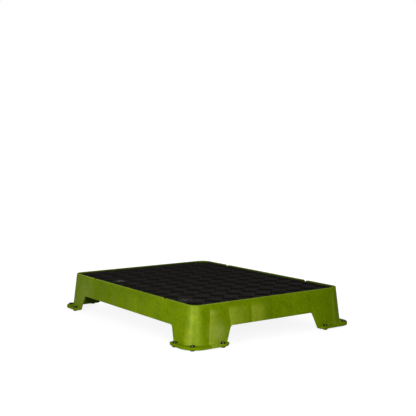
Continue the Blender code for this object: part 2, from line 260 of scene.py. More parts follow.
# The rim edge's painted highlight: its heights, its strength along the long sides and on the short ones
RIM_HIGHLIGHT_HEIGHTS = (RIM_HEIGHT - 0.0024, RIM_HEIGHT - 0.0014)
RIM_HIGHLIGHT_ALONG = (-0.1, 0.3, 0.25, 0.85)
RIM_HIGHLIGHT_ACROSS = 0.22
# The recess wall's painted shade: its margin at the rim and below the top, where the corners' share
# ends it, and its strength
RECESS_SHADE_EDGE = 0.0006
RECESS_SHADE_CORNER = 0.001
RECESS_SHADE_STRENGTH = 0.6
# Gloss of the plain walls and of the rubbed corner, the corner's middle and reach, and how soon
# towards it the gloss is full
GLOSS = (0.015, 0.56)
RUBBED_CORNER = (-TOP_WIDTH / 2, -TOP_LENGTH / 2, 0.055)
RUBBED_REACH = 0.14
CORNER_GAIN = 1.6
# Heights between which the gloss fades towards the dull rim and the dull flanges
DULL_RIM = (RIM_HEIGHT - 0.0016, RIM_HEIGHT - 0.0008)
DULL_FLANGE = (FLANGE_TOP + 0.0002, FLANGE_TOP + 0.0012)
# Bow of the walls between the ribs in their finish, the heights between which it fades out, and
# the depths of the plastic's peel and grain, of the rubber's grain and of the metal's scratches
WALL_BOW = 0.0012
BOW_TOPS = (0.092, 0.105)
PEEL_DEPTH = 0.0006
GRAIN_DEPTH = 0.0002
SCRATCH_DEPTH = 0.0001

# The camera as fitted to the photograph, whose side is 416 pixels
FOCAL_PIXELS = 806.764
PHOTO_PIXELS = 416
SENSOR = 36.0
CAMERA_PLACE = (-1.3400, -1.9418, 0.4894)
CAMERA_RIGHT = (0.81721, -0.57634, -0.00025)
CAMERA_UP = (0.04179, 0.05881, 0.99739)
CAMERA_BACK = (-0.57483, -0.81509, 0.07214)
CAMERA_CLIP = (0.1, 50.0)

# The floor, and the surroundings' brightness from the horizon to overhead
FLOOR_HALF = 20.0
FLOOR_GREY = (0.18, 0.18, 0.18, 1.0)
FLOOR_GLOW = 0.88
WHITE = (1.0, 1.0, 1.0, 1.0)
DOME_LEVELS = (0.20, 0.45)
# The lamps: name, place, target, width, height and power
LAMPS = [
    ("left softbox", (-1.45, -0.60, 0.35), (-0.25, -0.08, 0.05), 0.60, 0.6, 9.1),
    ("front softbox", (-0.62, -1.20, 0.45), (-0.22, -0.33, 0.05), 0.40, 0.5, 6.6),
    ("back softbox", (1.50, 1.50, 1.10), (0.10, 0.10, 0.05), 1.20, 1.0, 18),
]

QUARTER = math.pi / 2
HALF_WIDTH = TOP_WIDTH / 2
HALF_LENGTH = TOP_LENGTH / 2
RECESS_FLOOR = MAT_BOTTOM - SEAT_GAP
RECESS_FOOT = -RIM_WIDTH - (RIM_HEIGHT - RECESS_FLOOR) * math.tan(RECESS_LEAN)
DECK_BOTTOM = RECESS_FLOOR - DECK
LEG_SIGNS = [(-1, -1), (1, -1), (-1, 1), (1, 1)]

# Places in a wall column's row, after its core point, its normal and its tangent
ALONG, EDGE_HEIGHT, EDGE_ALONG, EDGE_UP, TURN = range(6, 11)


def wall_offset(z):
    """How far the wall's outer face stands outside the rim's outline at height z: the height below
    the rim's top times the tangent of the wall's lean."""
    return (RIM_HEIGHT - z) * math.tan(WALL_LEAN)


def leg_round_centre():
    """The middle of the leg end's round, as (place outwards of the cut-out's edge at the flange's
    top, height): the flange's thickness less the round, times the tangent of the edge's lean, plus
    the round over the cosine of that lean."""
    across = (FLANGE_TOP - FLANGE_BOTTOM - LEG_END_ROUND) * math.tan(OPENING_LEAN)
    return across + LEG_END_ROUND / math.cos(OPENING_LEAN), FLANGE_BOTTOM + LEG_END_ROUND


def arc(centre, radius, start, end, steps=EDGE_STEPS):
    """Points on an arc: the centre plus the radius times cosine and sine of evenly spread angles."""
    angles = np.linspace(start, end, steps + 1)
    return np.asarray(centre) + radius * np.column_stack([np.cos(angles), np.sin(angles)])


def mesh_object(name, points, faces):
    """An object at the origin with these points and faces, welded and facing outwards."""
    mesh = bpy.data.meshes.new(name)
    mesh.from_pydata(points.tolist(), [], faces)
    shape = bmesh.new()
    shape.from_mesh(mesh)
    bmesh.ops.remove_doubles(shape, verts=shape.verts, dist=WELD)
    bmesh.ops.dissolve_degenerate(shape, edges=shape.edges, dist=SHORTEST)
    bmesh.ops.recalc_face_normals(shape, faces=shape.faces)
    shape.to_mesh(mesh)
    shape.free()
    made = bpy.data.objects.new(name, mesh)
    bpy.context.scene.collection.objects.link(made)
    return made


def grid_faces(rows, columns):
    """The four-sided faces of a grid whose rows close on themselves, as an array of point numbers."""
    i, j = np.meshgrid(np.arange(rows - 1), np.arange(columns), indexing="ij")
    k = (j + 1) % columns
    low, high = i * columns, (i + 1) * columns
    return np.stack([low + j, low + k, high + k, high + j], -1).reshape(-1, 4)


def closed_grid(rows):
    """Points and faces of stacked closed rows, (rows, columns, 3), with both ends capped."""
    rows = np.asarray(rows, float)
    count, columns = rows.shape[:2]
    faces = grid_faces(count, columns).tolist()
    faces.append(list(range(columns)))
    faces.append(list(range((count - 1) * columns, count * columns)))
    return rows.reshape(-1, 3), faces


def at_height(outline, z):
    """The flat outline's points, all at height z."""
    return np.column_stack([outline, np.full(len(outline), z)])


def several(name, shapes):
    """One object of several closed shapes, each as points and faces."""
    points, faces, first = [], [], 0
    for shape_points, shape_faces in shapes:
        points.append(shape_points)
        faces += [[index + first for index in face] for face in shape_faces]
        first += len(shape_points)
    return mesh_object(name, np.concatenate(points), faces)


# The wall, its rim and the deck

def lower_edge(along, z, direction):
    """Rows of a wall's lower edge: places along it, their heights and the edge's outward direction."""
    along, z = np.broadcast_arrays(along, z)
    return np.column_stack([along, z, np.broadcast_to(direction, (len(along), 2))])


def side_columns(opening, half, extra=()):
    """Where one wall's columns stand: rows of (along, lower edge's height, its outward direction).

    The lower edge runs level over the cut-out, round its corner, down the leg's slanted end, round
    the leg's lower corner and level along the foot, and the other half mirrors it.
    """
    top = opening / 2 - (OPENING_HEIGHT - FLANGE_TOP) * math.tan(OPENING_LEAN)
    reach = OPENING_FILLET * math.tan(QUARTER / 2 - OPENING_LEAN / 2)
    centre = (top - reach, OPENING_HEIGHT - OPENING_FILLET)
    fillet = arc(centre, OPENING_FILLET, QUARTER, OPENING_LEAN, END_STEPS)
    bend = arc((0, 0), -1.0, QUARTER, OPENING_LEAN, END_STEPS)
    across, up = leg_round_centre()
    centre = (opening / 2 + across, up)
    foot = arc(centre, LEG_END_ROUND, math.pi + OPENING_LEAN, 3 * QUARTER, LEG_ROUND_STEPS)
    roll = arc((0, 0), 1.0, math.pi + OPENING_LEAN, 3 * QUARTER, LEG_ROUND_STEPS)
    level = np.linspace(0, fillet[0, 0], math.ceil(fillet[0, 0] / COLUMN_SPACING) + 1)[:-1]
    level = np.unique(np.concatenate([level, [a for a in extra if a < fillet[0, 0]]]))
    slant = np.linspace(fillet[-1], foot[0], SLANT_STEPS + 1)[1:-1]
    away = (-math.cos(OPENING_LEAN), -math.sin(OPENING_LEAN))
    ground = np.linspace(centre[0], half, math.ceil((half - centre[0]) / COLUMN_SPACING) + 1)[1:]
    right = np.concatenate([
        lower_edge(level, OPENING_HEIGHT, (0, -1)),
        lower_edge(fillet[:, 0], fillet[:, 1], bend),
        lower_edge(slant[:, 0], slant[:, 1], away),
        lower_edge(foot[:, 0], foot[:, 1], roll),
        lower_edge(ground, FLANGE_BOTTOM, (0, -1)),
    ])
    left = right[:0:-1] * (-1, 1, -1, 1)
    return np.concatenate([left, right])


def wall_columns():
    """All columns anticlockwise: core point, outward normal, tangent, place along the wall, height
    and outward direction of the lower edge, and the number of the quarter turn.

    The core is the rectangle through the centres of the rim's corners, so a point of the wall is
    its core point plus the normal times the corner radius and the wall's offset.
    """
    x, y = HALF_WIDTH - CORNER_RADIUS, HALF_LENGTH - CORNER_RADIUS
    long_side = side_columns(SIDE_OPENING, y, HALF_LENGTH - NOTCH_INSET + NOTCH_COLUMNS)
    short_side = side_columns(FRONT_OPENING, x)
    columns = []
    for turn in range(4):
        normal = np.array([(1, 0), (0, 1), (-1, 0), (0, -1)][turn], float)
        tangent = np.array([-normal[1], normal[0]])
        table, out, along = (long_side, x, y) if turn % 2 == 0 else (short_side, y, x)
        count = len(table)
        core = normal * out + np.outer(table[:, 0], tangent)
        directions = np.tile([*normal, *tangent], (count, 1))
        columns.append(np.column_stack([core, directions, table, np.full(count, turn)]))
        bend = arc((0, 0), 1.0, turn * QUARTER, (turn + 1) * QUARTER, CORNER_STEPS)[1:-1]
        count = len(bend)
        corner = np.tile(normal * out + tangent * along, (count, 1))
        flat = np.tile([0, FLANGE_BOTTOM, 0, -1, turn], (count, 1))
        columns.append(np.column_stack([corner, bend, np.zeros((count, 2)), flat]))
    return np.concatenate(columns)


def on_flat_wall(columns):
    """True for the columns that have a tangent, so not for those of the corners."""
    return columns[:, 4] ** 2 + columns[:, 5] ** 2 > 0.5


def panel_swell(columns):
    """How far each column of the outer face stands proud between the ribs behind the wall.

    Between two ribs the plastic swells as a flat parabola and at each rib it has sunk to nothing.
    """
    along = columns[:, ALONG]
    pitch = np.where(columns[:, TURN] % 2 == 0, RIB_PITCH_ALONG, RIB_PITCH_ACROSS)
    share = (along / pitch + 0.5 * (1 - RIB_COUNT % 2)) % 1.0
    inside = np.abs(along) < pitch * (RIB_COUNT - 1) / 2
    return np.where(inside & on_flat_wall(columns), PANEL_SWELL * 4 * share * (1 - share), 0.0)


def wall_point(columns, offset, z, shift=0.0):
    """Points of one row: core plus normal times (corner radius + offset) plus tangent times shift."""
    count = len(columns)
    out = np.broadcast_to(CORNER_RADIUS + offset, count)[:, None]
    aside = np.broadcast_to(shift, count)[:, None]
    plan = columns[:, 0:2] + columns[:, 2:4] * out + columns[:, 4:6] * aside
    return np.column_stack([plan, np.broadcast_to(z, count)])


def notch_floor(along, offset):
    """The height of the drain grooves over the rim: a V with a round bottom that falls outwards.

    The V's sides rise by the tangent of its flank, its bottom is a circle that meets them, and
    outwards the whole falls by the tangent of the groove's tilt.
    """
    flank = math.atan2(NOTCH_DEPTH, NOTCH_WIDTH / 2)
    across = np.abs(np.abs(along) - (HALF_LENGTH - NOTCH_INSET))
    bottom = NOTCH_ROUND - np.sqrt(np.maximum(NOTCH_ROUND**2 - across**2, 0))
    lip = NOTCH_ROUND * math.sin(flank)
    sides = NOTCH_ROUND * (1 - math.cos(flank)) + (across - lip) * math.tan(flank)
    rise = np.where(across < lip, bottom, sides)
    fall = NOTCH_DEPTH + (offset + RIM_WIDTH / 2) * math.tan(NOTCH_TILT)
    return RIM_HEIGHT - fall + rise


def soft_least(a, b, reach):
    """The smaller of two heights, rounded over where they are less than reach apart: a mix of both
    by shares, less reach times the product of the shares."""
    blend = np.clip(0.5 + 0.5 * (b - a) / reach, 0, 1)
    return b * (1 - blend) + a * blend - reach * blend * (1 - blend)


def rim_profile():
    """The rim's section as (offset, height): from the recess's floor over the rim to the outer face."""
    round_z = RIM_HEIGHT - RIM_ROUND
    outer = wall_offset(round_z) - RIM_ROUND / math.cos(WALL_LEAN)
    return np.concatenate([
        [(RECESS_FOOT, RECESS_FLOOR)],
        arc((RIM_ROUND - RIM_WIDTH, round_z), RIM_ROUND, 2 * QUARTER, QUARTER),
        arc((outer, round_z), RIM_ROUND, QUARTER, WALL_LEAN),
    ])


def wall_shape():
    """The wall as one closed grid: rows go from the recess over the rim, down the outer face,
    round the lower edge, up the inner face and under the deck."""
    columns = wall_columns()
    swell = panel_swell(columns)
    lean = math.cos(WALL_LEAN)
    beside = np.abs(np.abs(columns[:, ALONG]) - HALF_LENGTH + NOTCH_INSET)
    notched = (columns[:, TURN] % 2 == 0) & (beside < NOTCH_REACH) & on_flat_wall(columns)
    edge_z, edge_along, edge_up = columns[:, [EDGE_HEIGHT, EDGE_ALONG, EDGE_UP]].T
    inset = WALL_EDGE_ROUND
    last = COARSE_HEIGHTS[-1]

    def cut(offset, z, fade):
        """A row of the rim or the outer face at height z, lowered where a notch crosses it."""
        height = np.full(len(columns), z)
        lowered = soft_least(height, notch_floor(columns[:, ALONG], offset), NOTCH_LIP_ROUND)
        return wall_point(columns, offset + swell * fade, np.where(notched, lowered, height))

    def lower(depth, out, fade):
        """A row near the lower edge: depth into the wall, and out from the edge's inset line."""
        z = edge_z + (out - inset) * edge_up
        offset = wall_offset(z) - depth / lean + swell * fade
        return wall_point(columns, offset, z, (out - inset) * edge_along)

    def blended(share, depth, fade):
        """A row whose height goes over from the last level row to the lower edge's inset line."""
        height = last + (edge_z - inset * edge_up - last) * share
        offset = wall_offset(height) - depth / lean + swell * fade
        return wall_point(columns, offset, height, -inset * edge_along * share)

    rows = [cut(offset, z, 0.0) for offset, z in rim_profile()]
    for z in (*FINE_HEIGHTS, *COARSE_HEIGHTS):
        rows.append(cut(wall_offset(z), z, np.clip((SWELL_TOP - z) / SWELL_FADE, 0, 1)))
    for share in np.linspace(0, 1, FACE_STEPS + 1)[1:]:
        rows.append(blended(share, 0.0, 1 - (1 - SWELL_LEFT) * share))
    for angle in np.linspace(0, QUARTER, EDGE_STEPS + 1)[1:]:
        rows.append(lower(inset * (1 - math.cos(angle)), inset * math.sin(angle), SWELL_LEFT))
    for angle in np.linspace(0, QUARTER, EDGE_STEPS + 1):
        rows.append(lower(WALL - inset + inset * math.sin(angle), inset * math.cos(angle), 0.0))
    rows += [blended(share, WALL, 0.0) for share in np.linspace(1, 0, INNER_STEPS + 1)[1:]]
    knee = DECK_BOTTOM - INNER_FILLET
    for z in np.linspace(last, knee, KNEE_STEPS + 1)[1:-1]:
        rows.append(wall_point(columns, wall_offset(z) - WALL / lean, z))
    centre = (wall_offset(knee) - WALL / lean - INNER_FILLET, knee)
    for offset, z in arc(centre, INNER_FILLET, 0, QUARTER, FILLET_STEPS):
        rows.append(wall_point(columns, offset, z))
    return closed_grid(rows)


# The flanges of the feet and the ribs under the deck

def leg_outline(inset, retreat, inner, follow=None):
    """The L of one foot flange in the +X +Y corner, anticlockwise.

    Its outer sides lie inset inside the flange's own, or follow outside the rim's outline, and its
    ends stand back by retreat from the cut-outs' edges.
    """
    reach = wall_offset(FLANGE_TOP) + FLANGE_REACH - inset
    right, back = HALF_WIDTH + reach, HALF_LENGTH + reach
    end_x, end_y = FRONT_OPENING / 2 + retreat, SIDE_OPENING / 2 + retreat
    radius, corner = FLANGE_END_RADIUS - inset, FLANGE_CORNER_RADIUS - inset
    centre = (HALF_WIDTH - CORNER_RADIUS, HALF_LENGTH - CORNER_RADIUS)
    first = arc((right - radius, end_y + radius), radius, -QUARTER, 0, END_STEPS)
    middle = arc((right - corner, back - corner), corner, 0, QUARTER, FLANGE_CORNER_STEPS)
    last = arc((end_x + radius, back - radius), radius, QUARTER, 2 * QUARTER, END_STEPS)
    if follow is not None:
        first[:, 0] = HALF_WIDTH + follow
        last[:, 1] = HALF_LENGTH + follow
        middle = arc(centre, CORNER_RADIUS + follow, 0, QUARTER, FLANGE_CORNER_STEPS)
    inside = arc(centre, CORNER_RADIUS + inner, QUARTER, 0, FLANGE_CORNER_STEPS)
    front_end, side_end = (end_x, HALF_LENGTH + inner), (HALF_WIDTH + inner, end_y)
    return np.concatenate([first, middle, last, [front_end], inside, [side_end]])


def leg_end():
    """The leg's end below the flange's top, upwards, as (retreat, height)."""
    start, end = 3 * QUARTER, math.pi + OPENING_LEAN
    return arc(leg_round_centre(), LEG_END_ROUND, start, end, LEG_END_STEPS)


def flange_shape(signs):
    """One foot flange: outlines stacked from its underside over its rounded edge to its top, and
    up the hollow round that leads into the wall."""
    edge = FLANGE_EDGE_ROUND
    slope = math.tan(OPENING_LEAN)
    rows = []

    def add(inset, retreat, z, follow=None):
        rows.append(at_height(leg_outline(inset, retreat, wall_offset(z) - FLANGE_BITE, follow), z))

    for retreat, z in leg_end():
        below = max(0.0, FLANGE_BOTTOM + edge - z)
        add(edge - math.sqrt(max(0.0, edge**2 - below**2)), retreat, z)
    for inset, z in arc((edge, FLANGE_TOP - edge), edge, 2 * QUARTER, QUARTER, FLANGE_EDGE_STEPS):
        add(inset, inset + (FLANGE_TOP - z) * slope, z)
    spread = FLANGE_FILLET * math.tan(QUARTER / 2 - WALL_LEAN / 2)
    centre = (wall_offset(FLANGE_TOP) + spread, FLANGE_TOP + FLANGE_FILLET)
    hollow_round = arc(centre, FLANGE_FILLET, 3 * QUARTER, math.pi + WALL_LEAN)
    hollow_round[-1, 0] -= FILLET_BITE
    for follow, z in hollow_round:
        add(edge, (FLANGE_TOP - z) * slope + FILLET_RETREAT, z, follow)
    return closed_grid([row * (*signs, 1) for row in rows])


def prism_shape(outline, low, high):
    """The outline carried straight up from low to high."""
    return closed_grid([at_height(outline, low), at_height(outline, high)])


def circle(centre, radius, steps):
    """Points round a circle: the centre plus the radius times cosine and sine of even angles."""
    angles = np.arange(steps) * math.tau / steps
    return np.column_stack([np.cos(angles), np.sin(angles)]) * radius + centre


def hollow_shape(signs):
    """The hollow under one flange, inside its lip."""
    retreat = leg_end()[0, 0] + FLANGE_LIP
    outline = leg_outline(FLANGE_LIP, retreat, wall_offset(FLANGE_BOTTOM)) * signs
    return prism_shape(outline, FLANGE_BOTTOM - OVERRUN, HOLLOW_TOP)


def rib_shape(place, along_y):
    """One rib: a section with a rounded tip and a flared root, carried from wall to wall. Each of
    its sides draws in by its depth times the tangent of the draft."""
    half = RIB_THICKNESS / 2
    tip = half - (DECK_BOTTOM - RIB_TIP_HEIGHT) * math.tan(RIB_DRAFT)
    centre = (half + RIB_FILLET, DECK_BOTTOM - RIB_FILLET)
    flare = arc(centre, RIB_FILLET, QUARTER, 2 * QUARTER, RIB_ROOT_STEPS)
    centre = (tip - RIB_TIP_ROUND, RIB_TIP_HEIGHT + RIB_TIP_ROUND)
    nose = arc(centre, RIB_TIP_ROUND, 0, -QUARTER, RIB_TIP_STEPS)
    root = [(half + RIB_FILLET, DECK_BOTTOM + DECK / 2)]
    right = np.concatenate([root, flare, nose])
    section = np.concatenate([right, right[::-1] * (-1, 1)])
    across, z = place + section[:, 0], section[:, 1]
    reach = (HALF_LENGTH if along_y else HALF_WIDTH) + wall_offset(z) - WALL / 2
    rows = []
    for end in (-1, 1):
        x, y = (across, end * reach) if along_y else (end * reach, across)
        rows.append(np.column_stack([x, y, z]))
    return closed_grid(rows)


def apply_changes(made):
    """Gives the object the mesh that its modifiers make, less its slivers, and removes the shapes
    they used."""
    graph = bpy.context.evaluated_depsgraph_get()
    mesh = bpy.data.meshes.new_from_object(made.evaluated_get(graph))
    shape = bmesh.new()
    shape.from_mesh(mesh)
    bmesh.ops.remove_doubles(shape, verts=shape.verts, dist=SLIVER_WELD)
    bmesh.ops.dissolve_degenerate(shape, edges=shape.edges, dist=SLIVER_SHORTEST)
    shape.to_mesh(mesh)
    shape.free()
    others = [change.object for change in made.modifiers if change.type == "BOOLEAN"]
    made.modifiers.clear()
    made.data = mesh
    for other in others:
        bpy.data.objects.remove(other)
    return made


def combine(made, other, operation):
    """Joins the other object to this one, or cuts it away."""
    change = made.modifiers.new(operation, "BOOLEAN")
    change.operation = operation
    change.solver = "EXACT"
    change.object = other


def foot_centres():
    """The twelve feet by node name, from the boxes of their solids."""
    found = {}
    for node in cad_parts:
        if node.startswith("rubber_foot_"):
            low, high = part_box(node)
            found[node.removeprefix("rubber_foot_")] = np.array(((low + high) / 2).xy)
    return found


def moulded_shell():
    """The whole moulding: the wall and deck, the flanges and ribs joined, the flanges hollowed out
    round their bosses."""
    shell = several("moulded_shell", [wall_shape()])
    combine(shell, several("flanges", [flange_shape(signs) for signs in LEG_SIGNS]), "UNION")
    places = np.arange(RIB_COUNT) - (RIB_COUNT - 1) / 2
    ribs_along = [rib_shape(place * RIB_PITCH_ACROSS, True) for place in places]
    ribs_across = [rib_shape(place * RIB_PITCH_ALONG, False) for place in places]
    combine(shell, several("ribs_along", ribs_along), "UNION")
    combine(shell, several("ribs_across", ribs_across), "UNION")
    hollows = several("hollows", [hollow_shape(signs) for signs in LEG_SIGNS])
    outlines = [circle(centre, BOSS_RADIUS, BOSS_STEPS) for centre in foot_centres().values()]
    low = FLANGE_BOTTOM - 2 * OVERRUN
    bosses = several("bosses", [prism_shape(outline, low, FLANGE_TOP) for outline in outlines])
    combine(hollows, bosses, "DIFFERENCE")
    combine(shell, apply_changes(hollows), "DIFFERENCE")
    return apply_changes(shell)


# The mat

def block_shape(turned):
    """One square of the mat's top with its slits, as points and faces in a flat frame.

    Each slit is a trough on a small grid, four places along and seven across, and the land round
    it is flat. The square's own border has only its four corners, so that neighbours meet.
    """
    half = BLOCK / 2
    reach = half - SLIT_END
    across = np.multiply(SLIT_ACROSS, SLIT_HALF_WIDTH)
    depth = np.multiply(SLIT_SINK, SLIT_DEPTH)
    along = np.array([-reach, SLIT_RAMP - reach, reach - SLIT_RAMP, reach])
    points = [(-half, -half, 0), (half, -half, 0), (half, half, 0), (-half, half, 0)]
    faces, grids = [], []
    for number in range(SLITS):
        x = (number - (SLITS - 1) / 2) * SLIT_PITCH + np.outer(SLIT_WIDTHS, across)
        y = np.broadcast_to(along[:, None], x.shape)
        z = -np.outer(SLIT_DEPTHS, depth)
        grids.append(len(points) + np.arange(x.size).reshape(x.shape))
        points += np.stack([x, y, z], -1).reshape(-1, 3).tolist()
    for grid in grids:
        quads = np.stack([grid[:-1, :-1], grid[:-1, 1:], grid[1:, 1:], grid[1:, :-1]], -1)
        faces += quads.reshape(-1, 4).tolist()
    for left, right in zip(grids, grids[1:]):
        faces.append([*left[:, -1].tolist(), *right[::-1, 0].tolist()])
    low_edge = [index for grid in grids for index in grid[0].tolist()]
    high_edge = [index for grid in grids[::-1] for index in grid[-1, ::-1].tolist()]
    faces.append([0, 1, *low_edge[::-1]])
    faces.append([2, 3, *high_edge[::-1]])
    faces.append([3, 0, *grids[0][:, 0].tolist()])
    faces.append([1, 2, *grids[-1][::-1, -1].tolist()])
    points = np.array(points, float)
    if turned:
        points = points[:, [1, 0, 2]] * (1, -1, 1)
    return points, faces


def mat_outline():
    """The mat's rounded rectangle, as a list of cutting planes (point, outward normal): each point
    is the middle of a corner's arc plus the normal times the arc's radius."""
    x, y = HALF_WIDTH - CORNER_RADIUS, HALF_LENGTH - CORNER_RADIUS
    radius = CORNER_RADIUS + RECESS_FOOT - MAT_SIDE_GAP
    planes = []
    for sx, sy in LEG_SIGNS:
        for angle in np.linspace(0, QUARTER, MAT_CORNER_STEPS + 1):
            normal = np.array([sx * math.cos(angle), sy * math.sin(angle), 0.0])
            planes.append((np.array([sx * x, sy * y, 0.0]) + normal * radius, normal))
    return planes


def ribbed_mat():
    """The mat: squares of slits laid at 45 degrees, turned by a quarter from one to the next, cut to
    the recess's outline, with the cut edge carried down to the underside."""
    blocks = block_shape(False), block_shape(True)
    direction = np.array([1.0, 1.0]) / math.sqrt(2)
    other = np.array([-1.0, 1.0]) / math.sqrt(2)
    corner = np.array([-HALF_WIDTH, -HALF_LENGTH])
    limit = BLOCK_MARGIN - corner
    shapes = []
    for i in BLOCK_NUMBERS:
        for j in BLOCK_NUMBERS:
            u, w = (i + 0.5) * BLOCK + BLOCK_SHIFT[0], (j + 0.5) * BLOCK + BLOCK_SHIFT[1]
            centre = corner + direction * u + other * w
            if (np.abs(centre) > limit).any():
                continue
            points, faces = blocks[(i + j) % 2]
            plan = centre + np.outer(points[:, 0], direction) + np.outer(points[:, 1], other)
            shapes.append((np.column_stack([plan, points[:, 2] + MAT_TOP]), faces))
    made = several("ribbed_mat", shapes)
    shape = bmesh.new()
    shape.from_mesh(made.data)
    for point, normal in mat_outline():
        bmesh.ops.bisect_plane(
            shape,
            geom=[*shape.verts, *shape.edges, *shape.faces],
            dist=WELD,
            plane_co=point,
            plane_no=normal,
            clear_outer=True,
        )
    border = [edge for edge in shape.edges if edge.is_boundary]
    grown = bmesh.ops.extrude_edge_only(shape, edges=border)["geom"]
    for item in grown:
        if isinstance(item, bmesh.types.BMVert):
            item.co.z = MAT_BOTTOM
    bottom = [edge for edge in shape.edges if edge.is_boundary]
    bmesh.ops.contextual_create(shape, geom=bottom)
    bmesh.ops.recalc_face_normals(shape, faces=shape.faces)
    shape.to_mesh(made.data)
    shape.free()
    return made


# Screw heads and rubber feet

def screw_shape(centre):
    """A domed head with a six-sided socket: the dome's rings, then hexagons going down inside.

    A hexagon's reach at an angle is its half width divided by the largest of the three cosines of
    the angles to its pairs of sides.
    """
    seat = FLANGE_TOP + SEAT_GAP
    quarter = arc((0, 0), 1.0, 0, QUARTER * DOME_SHARE, DOME_STEPS)
    dome = quarter * (HEAD_RADIUS, HEAD_HEIGHT - HEAD_RIM) + (0, seat + HEAD_RIM)
    below = [
        (SHANK_RADIUS, seat - SHANK_LENGTH),
        (SHANK_RADIUS, seat),
        (HEAD_RADIUS - HEAD_EDGE, seat),
        (HEAD_RADIUS, seat + HEAD_EDGE),
    ]
    rows = [at_height(circle(centre, radius, HEAD_STEPS), z) for radius, z in [*below, *dome]]
    ring = circle((0, 0), 1.0, HEAD_STEPS)
    angles = np.arange(HEAD_STEPS) * math.tau / HEAD_STEPS
    hexagon = 1 / np.maximum.reduce([np.abs(np.cos(angles - k * math.pi / 3)) for k in range(3)])
    for half_width, depth in SOCKET:
        rows.append(at_height(ring * (half_width * hexagon)[:, None] + centre, dome[-1, 1] - depth))
    return closed_grid(rows)


def paint_glint(head, centre):
    """Stores how much painted glint each point has: one at a spot low on the head's outer side, falling
    to zero.

    It is the spot's reach less the point's distance, over the width of the soft edge, held between
    zero and one.
    """
    points = np.empty(len(head.data.vertices) * 3)
    head.data.vertices.foreach_get("co", points)
    spot = np.array([*centre, FLANGE_TOP + SEAT_GAP]) + GLINT_SPOT
    away = np.linalg.norm(points.reshape(-1, 3) - spot, axis=1)
    painted_glint = head.data.attributes.new("painted_glint", "FLOAT", "POINT")
    painted_glint.data.foreach_set("value", np.clip((GLINT_REACH - away) / GLINT_EDGE, 0.0, 1.0))


def foot_shape(centre):
    """One rubber foot: circles whose radius and height follow a quarter round from the flat
    underside, and the last one straight above it."""
    edge = FOOT_EDGE_ROUND
    low = arc((FOOT_RADIUS - edge, edge), edge, 3 * QUARTER, 4 * QUARTER, FOOT_EDGE_STEPS)
    profile = [(FOOT_MIDDLE, 0.0), *low, (FOOT_RADIUS, FOOT_TOP)]
    return closed_grid([at_height(circle(centre, radius, FOOT_STEPS), z) for radius, z in profile])


# Materials

class Nodes:
    """The shader nodes of one material or of the world. Values are numbers or other nodes' outputs."""

    def __init__(self, owner):
        owner.use_nodes = True
        self.tree = owner.node_tree

    def put(self, socket, value):
        """Joins another node's output to this input, or gives the input a plain value."""
        if isinstance(value, bpy.types.NodeSocket):
            self.tree.links.new(value, socket)
        else:
            socket.default_value = value

    def add(self, kind, **inputs):
        """A new node of this kind with these values at its inputs, whose names may hold spaces."""
        node = self.tree.nodes.new("ShaderNode" + kind)
        for name, value in inputs.items():
            self.put(node.inputs[name.replace("_", " ")], value)
        return node

    def place(self):
        """The object's own coordinates."""
        return self.add("TexCoord").outputs["Object"]

    def split(self, vector):
        """The three parts of a vector."""
        found = self.add("SeparateXYZ", Vector=vector)
        return [found.outputs[axis] for axis in "XYZ"]

    def noise(self, place, scale, detail=2.0, roughness=0.5):
        """Cloudy values about one half, with so many waves to the metre."""
        found = self.add("TexNoise", Vector=place, Scale=scale, Detail=detail, Roughness=roughness)
        return found.outputs["Fac"]

    def ramp(self, value, stops):
        """A colour that goes over from one stop's to the other's, each given as value and colour."""
        found = self.add("ValToRGB", Fac=value)
        for element, (position, colour) in zip(found.color_ramp.elements, stops):
            element.position = position
            element.color = (*colour, 1.0)
        return found.outputs["Color"]

    def to_range(self, value, low, high, out_low, out_high, course="LINEAR"):
        """Carries low..high over to out_low..out_high and holds what lies beyond."""
        found = self.add(
            "MapRange", Value=value, From_Min=low, From_Max=high, To_Min=out_low, To_Max=out_high
        )
        found.interpolation_type = course
        return found.outputs["Result"]

    def patch(self, place, centre, radius):
        """One at centre, falling smoothly to zero at radius."""
        away = self.add("VectorMath")
        away.operation = "DISTANCE"
        self.put(away.inputs[0], place)
        self.put(away.inputs[1], centre)
        return self.to_range(away.outputs["Value"], radius, 0.0, 0.0, 1.0, "SMOOTHSTEP")

    def bump(self, height, strength, distance, before=None):
        """The surface's direction, tilted as if it rose by distance where the height is one."""
        found = self.add("Bump", Height=height, Strength=strength, Distance=distance)
        if before is not None:
            self.put(found.inputs["Normal"], before)
        return found.outputs["Normal"]

    def blend(self, factor, first, second, mode="MIX"):
        """A colour that goes over from the first to the second as the factor goes from zero to one."""
        found = self.add("Mix")
        found.data_type = "RGBA"
        found.blend_type = mode
        self.put(found.inputs["Factor"], factor)
        for socket, colour in ((found.inputs[6], first), (found.inputs[7], second)):
            self.put(socket, (*colour, 1.0) if isinstance(colour, tuple) else colour)
        return found.outputs[2]

    def calculate(self, operation, *values):
        """What the operation makes of the values."""
        found = self.add("Math")
        found.operation = operation
        for socket, value in zip(found.inputs, values):
            self.put(socket, value)
        return found.outputs["Value"]

    def product(self, first, *others):
        """All the values multiplied."""
        for other in others:
            first = self.calculate("MULTIPLY", first, other)
        return first

    def seen(self):
        """One for the camera's own rays and for those that gloss or glass sends on, and else zero."""
        path = self.add("LightPath").outputs
        sent_on = self.calculate("MAXIMUM", path["Is Glossy Ray"], path["Is Transmission Ray"])
        return self.calculate("MAXIMUM", path["Is Camera Ray"], sent_on)


def new_material(name):
    """A new material, its nodes and the inputs of its surface."""
    material = bpy.data.materials.new(name)
    nodes = Nodes(material)
    return material, nodes, material.node_tree.nodes["Principled BSDF"].inputs


